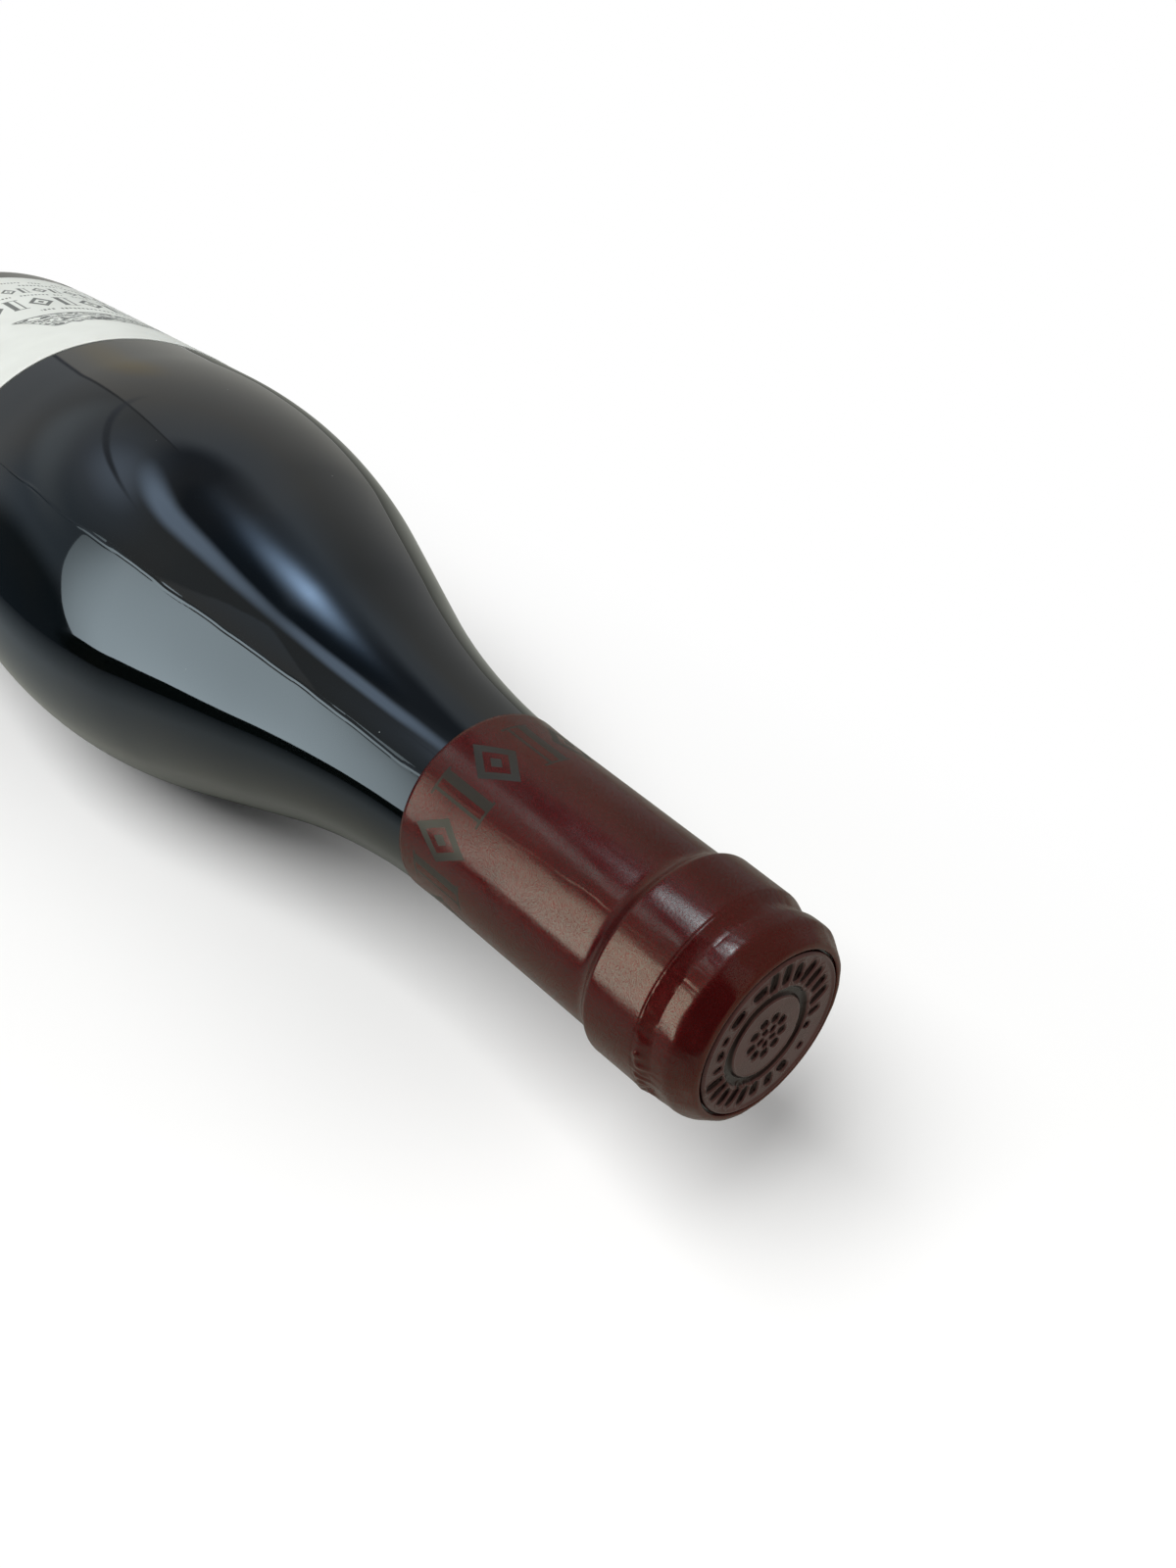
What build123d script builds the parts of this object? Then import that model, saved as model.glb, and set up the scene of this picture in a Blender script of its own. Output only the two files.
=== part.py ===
from build123d import *
import math
import os

# A full Burgundy wine bottle lying on its side, neck towards +X, up is +Z, in
# millimetres. The long axis is level, and the origin is on the ground under
# the middle of the bottle's length.

# ---- driving dimensions ----

# bottle body
total_length = 291.3          # base ring to the crest of the capsule's rim
body_radius = 42.7            # straight part of the body
heel_rounding = 9.6           # where the body turns into the base
shoulder_corner = 138.7       # height at which body and shoulder lines would meet
shoulder_rounding = 154.0     # convex sweep of the shoulder
neck_corner = 215.1           # height at which shoulder and neck lines would meet
neck_rounding = 160.8         # concave sweep into the neck
neck_taper = 1.87             # degrees the neck closes in towards the mouth
rest_flat_depth = 0.16        # how far the underside is flattened where it lies

# base
punt_depth = 20.0             # hollow pushed up into the base
punt_draft = 11.0             # how much the hollow's wall closes in up to its crown
punt_crown_rounding = 12.0
base_ring_width = 5.1         # flat ring the bottle stands on, from heel to punt
base_ring_rounding = 2.5      # inner edge of that ring

# mouth: heights are measured down from the crest of the capsule's rim, and
# radii out from the glass neck where it meets the ring
neck_radius = 14.16
ring_foot_drop = 17.4         # lower edge of the raised ring
ring_height = 8.5
ring_stand = 1.36             # how far the ring stands out at its lower edge
ring_taper_drop = 0.36        # how much smaller the ring is at its upper edge
ring_rounding = 0.8
ring_foot_slope = 1.2         # length over which the neck swells into the ring
ring_foot_rounding = 2.2
waist_drop = 2.0              # from the ring's upper edge to the groove below the lip
waist_stand = -0.26           # the groove is a little slimmer than the neck
waist_rounding = 0.9
lip_foot_slope = 1.8          # from the groove to the full lip
lip_stand = 0.34
lip_foot_rounding = 1.4
lip_taper_drop = 0.6          # how much the lip closes in towards the mouth
lip_rounding = 1.5
mouth_drop = 0.85             # the glass mouth lies this far below the rim's crest

# capsule: a shrunk sleeve and a stamped disc let into its top
capsule_length = 59.8         # lower edge to the crest of the rim
capsule_thickness = 0.30
capsule_gap = 0.02            # between the sleeve and the glass
rim_width = 2.22              # from the sleeve's outside to its edge around the disc
rim_bead_rounding = 0.3
disc_gap = 0.04               # between the disc's edge and the sleeve
disc_thickness = 0.40
disc_seat_gap = 0.02          # under the disc

# stamping on the disc
groove_radius = 6.8
groove_width = 1.1
groove_depth = 0.18
spoke_count = 28
spoke_edge_margin = 1.06      # from the disc's edge to the end of a long spoke
spoke_long = 2.7
spoke_short = 1.7
spoke_width = 0.85
stamp_height = 0.22
berry_count = 8
berry_circle_radius = 2.5
berry_radius = 0.72

# front label
label_foot = 18.7             # lower edge above the base ring
label_height = 76.3
label_wrap = 160.0            # degrees of the body it covers
label_turn = -45.0            # degrees its middle is turned from the top towards +Y
label_thickness = 0.16
label_gap = 0.02              # glue line

# ---- positions that follow from them ----

base_x = -total_length / 2
rim_x = total_length / 2
axis_height = body_radius - rest_flat_depth
punt_mouth_radius = body_radius - heel_rounding - base_ring_width
punt_crown_radius = punt_mouth_radius - punt_draft
taper = math.tan(math.radians(neck_taper))
ring_foot_x = rim_x - ring_foot_drop
ring_top_x = ring_foot_x + ring_height
waist_x = ring_top_x + waist_drop
lip_foot_x = waist_x + lip_foot_slope
mouth_x = rim_x - mouth_drop
ring_radius = neck_radius + ring_stand
ring_top_radius = ring_radius - ring_taper_drop
waist_radius = neck_radius + waist_stand
lip_radius = neck_radius + lip_stand
lip_top_radius = lip_radius - lip_taper_drop
capsule_foot_x = rim_x - capsule_length
sleeve_outside = capsule_gap + capsule_thickness
rim_opening_radius = lip_top_radius + sleeve_outside - rim_width


def neck_line(x):
    """Glass radius on the straight neck at position x."""
    return neck_radius + (ring_foot_x - x) * taper


def turned(corners):
    """Solid of revolution about the long axis from corners (x, radius, rounding)."""
    outline = Polyline(*[(x, radius) for x, radius, rounding in corners], close=True)
    face = make_face(outline).face()
    for x, radius, rounding in corners:
        if rounding > 0:
            corner = face.vertices().sort_by_distance(Vector(x, radius, 0))[0]
            face = face.fillet_2d(rounding, [corner])
    return revolve(Plane.XZ * face, axis=Axis.X)


def neck_corners(outside):
    """Shoulder to lip, moved out from the glass by a film's thickness."""
    neck_corner_x = base_x + neck_corner
    swell_x = ring_foot_x - ring_foot_slope
    return [
        (base_x + shoulder_corner, body_radius + outside, 0.0),
        (neck_corner_x, neck_line(neck_corner_x) + outside, neck_rounding - outside),
        (swell_x, neck_line(swell_x) + outside, ring_foot_rounding - outside),
        (ring_foot_x, ring_radius + outside, ring_rounding + outside),
        (ring_top_x, ring_top_radius + outside, ring_rounding + outside),
        (waist_x, waist_radius + outside, waist_rounding - outside),
        (lip_foot_x, lip_radius + outside, lip_foot_rounding + outside),
    ]


# ---- glass ----

shoulder = (base_x + shoulder_corner, body_radius, shoulder_rounding)
glass = turned([(base_x, body_radius, heel_rounding), shoulder] + neck_corners(0.0)[1:] + [
    (mouth_x, lip_top_radius, lip_rounding),
    (mouth_x, 0.0, 0.0),
    (base_x + punt_depth, 0.0, 0.0),
    (base_x + punt_depth, punt_crown_radius, punt_crown_rounding),
    (base_x, punt_mouth_radius, base_ring_rounding),
])
below_flat = Box(total_length * 2, body_radius * 4, body_radius)
glass -= Pos(0, 0, -axis_height - body_radius / 2) * below_flat

# ---- capsule sleeve ----

inner_corners = neck_corners(capsule_gap) + [
    (mouth_x + capsule_gap, lip_top_radius + capsule_gap, lip_rounding + capsule_gap),
    (mouth_x + capsule_gap, rim_opening_radius, 0.0),
]
outer_corners = neck_corners(sleeve_outside) + [
    (rim_x, lip_top_radius + sleeve_outside, lip_rounding + sleeve_outside),
    (rim_x, rim_opening_radius, rim_bead_rounding),
]
whole_sleeve = turned(inner_corners + outer_corners[::-1])
kept_length = Box(capsule_length * 2, body_radius * 4, body_radius * 4)
sleeve = whole_sleeve & (Pos(capsule_foot_x + capsule_length, 0, 0) * kept_length)

# ---- stamped disc in the capsule's top ----

disc_foot_x = mouth_x + disc_seat_gap
disc_top_x = disc_foot_x + disc_thickness
disc_radius = rim_opening_radius - disc_gap
spoke_inner_radius = disc_radius - spoke_edge_margin - spoke_long
disc = turned([
    (disc_foot_x, 0.0, 0.0),
    (disc_foot_x, disc_radius, 0.0),
    (disc_top_x, disc_radius, 0.0),
    (disc_top_x, groove_radius + groove_width / 2, 0.0),
    (disc_top_x - groove_depth, groove_radius + groove_width / 4, 0.0),
    (disc_top_x - groove_depth, groove_radius - groove_width / 4, 0.0),
    (disc_top_x, groove_radius - groove_width / 2, 0.0),
    (disc_top_x, 0.0, 0.0),
])
stamp_bite = disc_thickness / 2
stamp_centre_x = disc_top_x + (stamp_height - stamp_bite) / 2
for spoke in range(spoke_count):
    length = spoke_long if spoke % 2 == 0 else spoke_short
    middle = spoke_inner_radius + length / 2
    bar = Box(stamp_height + stamp_bite, spoke_width, length)
    disc += Rot(spoke * 360 / spoke_count, 0, 0) * Pos(stamp_centre_x, 0, middle) * bar
berry = Rot(0, 90, 0) * Cone(berry_radius, berry_radius * 0.6, stamp_height + stamp_bite)
disc += Pos(stamp_centre_x, 0, 0) * berry
for place in range(berry_count):
    around = Rot(place * 360 / berry_count, 0, 0)
    disc += around * Pos(stamp_centre_x, 0, berry_circle_radius) * berry

# ---- front label ----

label_inside = body_radius + label_gap
label_outside = label_inside + label_thickness
label_foot_x = base_x + label_foot
label_strip = make_face(Polyline(
    (label_foot_x, label_inside),
    (label_foot_x + label_height, label_inside),
    (label_foot_x + label_height, label_outside),
    (label_foot_x, label_outside),
    close=True,
))
label = revolve(Plane.XZ * label_strip, axis=Axis.X, revolution_arc=label_wrap)
label = Rot(label_turn - label_wrap / 2, 0, 0) * label

# ---- one file per node ----

lift = Pos(0, 0, axis_height)
nodes = {
    "bottle_glass": glass,
    "capsule_sleeve": sleeve,
    "capsule_top": disc,
    "front_label": label,
}
os.makedirs("parts", exist_ok=True)
for name, shape in nodes.items():
    export_step(lift * shape, f"parts/{name}.step")
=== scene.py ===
import math

import bpy
import numpy as np
from mathutils import Matrix, Vector, noise


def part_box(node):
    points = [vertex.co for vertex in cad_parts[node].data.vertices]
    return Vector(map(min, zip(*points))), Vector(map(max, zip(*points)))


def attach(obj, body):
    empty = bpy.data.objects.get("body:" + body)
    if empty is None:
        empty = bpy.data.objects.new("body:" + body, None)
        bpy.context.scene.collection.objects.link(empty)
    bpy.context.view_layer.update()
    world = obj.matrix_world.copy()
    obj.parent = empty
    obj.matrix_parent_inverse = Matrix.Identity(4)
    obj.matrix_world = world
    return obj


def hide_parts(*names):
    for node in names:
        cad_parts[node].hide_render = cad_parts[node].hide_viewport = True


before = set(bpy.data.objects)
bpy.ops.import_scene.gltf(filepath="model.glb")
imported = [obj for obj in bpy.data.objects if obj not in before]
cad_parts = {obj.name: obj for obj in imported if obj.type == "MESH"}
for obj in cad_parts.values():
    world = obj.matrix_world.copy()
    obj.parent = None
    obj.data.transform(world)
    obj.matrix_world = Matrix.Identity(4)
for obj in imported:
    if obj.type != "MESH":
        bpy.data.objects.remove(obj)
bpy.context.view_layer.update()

MM = 0.001

# ---- sizes, in millimetres, of a full Burgundy bottle lying on its side ----

glass_low, glass_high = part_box("bottle_glass")
sleeve_low, sleeve_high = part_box("capsule_sleeve")
disc_low, disc_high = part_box("capsule_top")
label_low, label_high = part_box("front_label")

BASE_X = glass_low[0] / MM
MOUTH_X = glass_high[0] / MM
RIM_X = sleeve_high[0] / MM
SLEEVE_FOOT_X = sleeve_low[0] / MM
BODY_RADIUS = (glass_high[1] - glass_low[1]) / 2 / MM
AXIS_Z = glass_high[2] / MM - BODY_RADIUS
LABEL_FOOT_X = label_low[0] / MM
LABEL_TOP_X = label_high[0] / MM
DISC_RADIUS = (disc_high[1] - disc_low[1]) / 2 / MM

HEEL_ROUNDING = 9.6
SHOULDER_CORNER = 138.7
SHOULDER_ROUNDING = 154.0
NECK_CORNER = 215.1
NECK_ROUNDING = 160.8
NECK_RADIUS = 14.16
NECK_TAPER = math.tan(math.radians(1.87))
RING_FOOT_X = RIM_X - 17.4
RING_TOP_X = RING_FOOT_X + 8.5
WAIST_X = RING_TOP_X + 2.0
LIP_FOOT_X = WAIST_X + 1.8
RING_STAND = 1.36          # how far the ring's foot stands out from the neck
RING_TAPER = 0.36          # how much less its top stands out
WAIST_SINK = 0.26          # how far the waist and the mouth's edge lie inside the neck's radius
LIP_STAND = 0.34           # how far the lip stands out from the neck
PUNT_DEPTH = 20.0
PUNT_CROWN_RADIUS = 17.0
PUNT_MOUTH_RADIUS = 28.0
BASE_RING_RADIUS = 30.4    # the stipples lie on a ring of this radius
SLEEVE_THICKNESS = 0.32
FILM_RIM_X = RIM_X - 0.25      # the disc's beaded edge stands this much proud of the film
RIM_EDGE_RADIUS = DISC_RADIUS + 0.22
LIP_RADIUS = NECK_RADIUS + LIP_STAND + SLEEVE_THICKNESS
LABEL_RADIUS = BODY_RADIUS + 0.18
PAPER_THICKNESS = 0.14
LABEL_MIDDLE = math.radians(-45.0)
LABEL_WRAP = math.radians(160.0)
NECK_ROUND = 15.6          # mean radius of the printed part of the sleeve
MOULD_SEAM = math.radians(45.0)


# ---- colours and node helper ----

def srgb(code, alpha=1.0):
    """Linear colour from an sRGB hex value such as '#5a2428'."""
    parts = [int(code[i:i + 2], 16) / 255 for i in (1, 3, 5)]
    linear = [c / 12.92 if c <= 0.04045 else ((c + 0.055) / 1.055) ** 2.4 for c in parts]
    return (*linear, alpha)


def node(tree, kind, inputs=None, **settings):
    """Adds a node, sets its properties, and sets or links its inputs."""
    made = tree.nodes.new(kind)
    for key, value in settings.items():
        setattr(made, key, value)
    for key, value in (inputs or {}).items():
        socket = made.inputs[key]
        if isinstance(value, bpy.types.NodeSocket):
            tree.links.new(value, socket)
        else:
            socket.default_value = value
    return made


def maths(tree, operation, *values, clamp=False):
    """One arithmetic step on sockets or numbers; gives its output socket."""
    made = node(tree, "ShaderNodeMath", dict(enumerate(values)), operation=operation)
    made.use_clamp = clamp
    return made.outputs[0]


def step_between(tree, value, low, high, to_low=0.0, to_high=1.0):
    """Smooth step of a socket from low to high."""
    made = node(tree, "ShaderNodeMapRange", {
        "Value": value, "From Min": low, "From Max": high,
        "To Min": to_low, "To Max": to_high,
    }, interpolation_type="SMOOTHSTEP")
    return made.outputs["Result"]


def blend_colours(tree, factor, first, second, mode="MIX"):
    """Mixes two colours or colour sockets."""
    made = node(tree, "ShaderNodeMix", data_type="RGBA", blend_type=mode)
    for key, value in ((0, factor), (6, first), (7, second)):
        if isinstance(value, bpy.types.NodeSocket):
            tree.links.new(value, made.inputs[key])
        else:
            made.inputs[key].default_value = value
    return made.outputs[2]


def new_material(name):
    """Empty node material; gives the material, its tree and its Principled shader."""
    material = bpy.data.materials.new(name)
    material.use_nodes = True
    tree = material.node_tree
    return material, tree, tree.nodes["Principled BSDF"]


def bump(value, low, high):
    """Rises smoothly from 0 to 1 between low and high."""
    t = np.clip((value - low) / (high - low), 0, 1)
    return t * t * (3 - 2 * t)


def band(value, low, high, soft):
    """1 between low and high, falling to 0 over soft."""
    return bump(value, low - soft, low + soft) * (1 - bump(value, high - soft, high + soft))


# ---- outline of the bottle and its capsule ----

def neck_line(x):
    """Glass radius on the straight neck at position x."""
    return NECK_RADIUS + (RING_FOOT_X - x) * NECK_TAPER


def rounded_outline(corners, coarse, fine=0.35):
    """Stations (x, radius) along corners (x, radius, rounding), arcs included."""
    stations = []
    count = len(corners)
    for i, (x, radius, rounding) in enumerate(corners):
        here = Vector((x, radius))
        if rounding <= 0 or i in (0, count - 1):
            stations.append(here)
            continue
        back = (Vector(corners[i - 1][:2]) - here).normalized()
        ahead = (Vector(corners[i + 1][:2]) - here).normalized()
        half = back.angle(ahead) / 2
        reach = rounding / math.tan(half)
        centre = here + (back + ahead).normalized() * (rounding / math.sin(half))
        first, last = here + back * reach, here + ahead * reach
        sweep = math.pi - 2 * half
        pieces = max(3, math.ceil(sweep * rounding / min(coarse, max(fine, rounding / 8))))
        start = first - centre
        turn = 1 if start.x * (last - centre).y - start.y * (last - centre).x > 0 else -1
        for k in range(pieces + 1):
            a = turn * sweep * k / pieces
            stations.append(centre + Vector((
                start.x * math.cos(a) - start.y * math.sin(a),
                start.x * math.sin(a) + start.y * math.cos(a))))
    filled = [stations[0]]
    for point in stations[1:]:
        gap = (point - filled[-1]).length
        if gap < 1e-6:
            continue
        splits = max(1, math.ceil(gap / coarse - 0.2))
        origin = filled[-1].copy()
        filled += [origin.lerp(point, k / splits) for k in range(1, splits + 1)]
    return np.array([(p.x, p.y) for p in filled])


def neck_corners(outside, swell, hollow):
    """Neck corner, ring, waist and lip, moved out from the glass by a film's thickness;
    swell and hollow are the length and rounding of the ring's sloping foot."""
    corner_x = BASE_X + NECK_CORNER
    swell_x = RING_FOOT_X - swell
    ring = NECK_RADIUS + RING_STAND + outside
    return [
        (corner_x, neck_line(corner_x) + outside, NECK_ROUNDING - outside),
        (swell_x, neck_line(swell_x) + outside, hollow),
        (RING_FOOT_X, ring, 0.8 + outside),
        (RING_TOP_X, ring - RING_TAPER, 0.8 + outside),
        (WAIST_X, NECK_RADIUS - WAIST_SINK + outside, 0.9),
        (LIP_FOOT_X, NECK_RADIUS + LIP_STAND + outside, 1.4),
    ]


def ring_of_angles(count, seams, reach, extra):
    """Angles all round, with extra ones close to the mould seams."""
    angles = list(np.linspace(-math.pi, math.pi, count, endpoint=False))
    for seam in seams:
        spread = np.linspace(-1, 1, extra)
        angles += list(seam + reach * np.sign(spread) * np.abs(spread) ** 1.6)
    angles = [(a + math.pi) % (2 * math.pi) - math.pi for a in angles]
    angles = sorted(angles)
    kept = [angles[0]]
    for a in angles[1:]:
        if a - kept[-1] > 2e-4:
            kept.append(a)
    return np.array(kept)


def skin_mesh(name, x, radius, angles, caps=()):
    """Closed skin over stations by angles, in millimetres; caps are (row, flipped) end fans."""
    rows, columns = radius.shape
    sin, cos = np.sin(angles), np.cos(angles)
    points = np.stack([
        np.broadcast_to(x, radius.shape) if x.ndim == 2 else np.repeat(x[:, None], columns, 1),
        -radius * sin,
        AXIS_Z + radius * cos,
    ], axis=-1).reshape(-1, 3) * MM
    row = np.arange(rows - 1)[:, None] * columns
    column = np.arange(columns)[None, :]
    after = (column + 1) % columns
    quads = np.stack([row + column, row + after, row + columns + after, row + columns + column],
                     axis=-1).reshape(-1, 4)
    faces = quads.tolist()
    points = points.tolist()
    for row_index, flip in caps:
        loop = [row_index * columns + k for k in range(columns)]
        centre = np.mean([points[k] for k in loop], axis=0).tolist()
        points.append(centre)
        hub = len(points) - 1
        for k in range(columns):
            a, b = loop[k], loop[(k + 1) % columns]
            faces.append((hub, b, a) if flip else (hub, a, b))
    mesh = bpy.data.meshes.new(name)
    mesh.from_pydata(points, [], faces)
    mesh.validate()
    mesh.shade_smooth()
    made = bpy.data.objects.new(name, mesh)
    bpy.context.scene.collection.objects.link(made)
    return made


def wavy(x, angle, wavelength, seed):
    """Smooth noise from -1 to 1 over the bottle's skin; wavelength in millimetres."""
    spot = Vector((x, 30 * math.cos(angle), 30 * math.sin(angle))) / wavelength
    return noise.noise(spot + Vector((seed, seed * 0.37, seed * 1.7)))


def seam_relief(x, radius, angles, seam, height, width, wander):
    """Raised double line left where the halves of the mould met."""
    drift = np.array([wander * wavy(v, 0.0, 9.0, 3.1) + 0.4 * wander * wavy(v, 1.0, 2.5, 8.2)
                      for v in x])
    offset = (angles[None, :] - seam + math.pi) % (2 * math.pi) - math.pi
    across = offset * radius[:, None] - drift[:, None]
    ridge = np.exp(-(across / width) ** 2)
    groove = np.exp(-((across - 1.9 * width) / (0.8 * width)) ** 2)
    return height * ridge - 0.5 * height * groove


# ---- pieces ----

def build_bottle_glass():
    """Glass from the punt's crown round the heel, along the body and neck to the mouth."""
    corners = [
        (BASE_X + PUNT_DEPTH, 0.05, 0.0),
        (BASE_X + PUNT_DEPTH, PUNT_CROWN_RADIUS, 12.0),
        (BASE_X, PUNT_MOUTH_RADIUS, 2.5),
        (BASE_X, BODY_RADIUS, HEEL_ROUNDING),
        (BASE_X + SHOULDER_CORNER, BODY_RADIUS, SHOULDER_ROUNDING),
        *neck_corners(0.0, 1.2, 2.2),
        (MOUTH_X, NECK_RADIUS - WAIST_SINK, 1.5),
        (MOUTH_X, 0.05, 0.0),
    ]
    outline = rounded_outline(corners, 1.45)
    x, radius = outline[:, 0], outline[:, 1]
    seams = (MOULD_SEAM, MOULD_SEAM - math.pi)
    angles = ring_of_angles(300, seams, 0.085, 25)
    grid = np.repeat(radius[:, None], len(angles), 1)
    outer = (x > BASE_X + 4.0) & (radius > 12.0)
    for i in np.where(outer)[0]:
        fade = min(1.0, (x[i] - BASE_X - 4.0) / 10.0)
        for j, a in enumerate(angles):
            grid[i, j] += fade * (0.045 * wavy(x[i], a, 22.0, 1.0)
                                  + 0.012 * wavy(x[i], a, 8.0, 5.0))
    for seam in seams:
        relief = seam_relief(x, radius, angles, seam, 0.055, 0.16, 0.45)
        grid[outer] += relief[outer]
    # under the film the neck is drawn a little thin, so that nothing shows through it
    thin = 0.5 * bump(x, SLEEVE_FOOT_X + 2.0, SLEEVE_FOOT_X + 8.0) * outer
    grid -= thin[:, None]
    below = -(grid * np.cos(angles))
    squeeze = np.where(below > AXIS_Z, AXIS_Z / np.maximum(below, 1e-6), 1.0)
    return skin_mesh("bottle_glass_blown", x, grid * squeeze, angles,
                     caps=((0, True), (len(x) - 1, False)))


def build_heel_stipples():
    """Short raised bars on the ring the bottle stands on, which keep hot glass off the belt."""
    points, faces = [], []
    count, rows, columns = 84, 4, 6
    half_length, half_width, stand = 1.25, 0.55, 0.20
    for k in range(count):
        turn = 2 * math.pi * k / count
        middle = BASE_RING_RADIUS + 0.25 * noise.noise(Vector((k * 1.7, 2.0, 0.0)))
        start = len(points)
        for i in range(rows + 1):
            lift = math.cos(math.pi / 2 * i / rows)
            spread = math.sin(math.pi / 2 * i / rows)
            for j in range(columns):
                a = 2 * math.pi * j / columns
                radial = middle + half_length * spread * math.cos(a)
                sideways = half_width * spread * math.sin(a)
                y = -radial * math.sin(turn) + sideways * math.cos(turn)
                z = radial * math.cos(turn) + sideways * math.sin(turn)
                points.append((BASE_X + 0.16 - stand * lift, y, z + AXIS_Z))
        for i in range(rows):
            for j in range(columns):
                a = start + i * columns + j
                b = start + i * columns + (j + 1) % columns
                faces.append((a, b, b + columns, a + columns))
    mesh = bpy.data.meshes.new("heel_stipples")
    mesh.from_pydata([[v * MM for v in p] for p in points], [], faces)
    mesh.validate()
    mesh.shade_smooth()
    made = bpy.data.objects.new("heel_stipples", mesh)
    bpy.context.scene.collection.objects.link(made)
    return made


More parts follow.
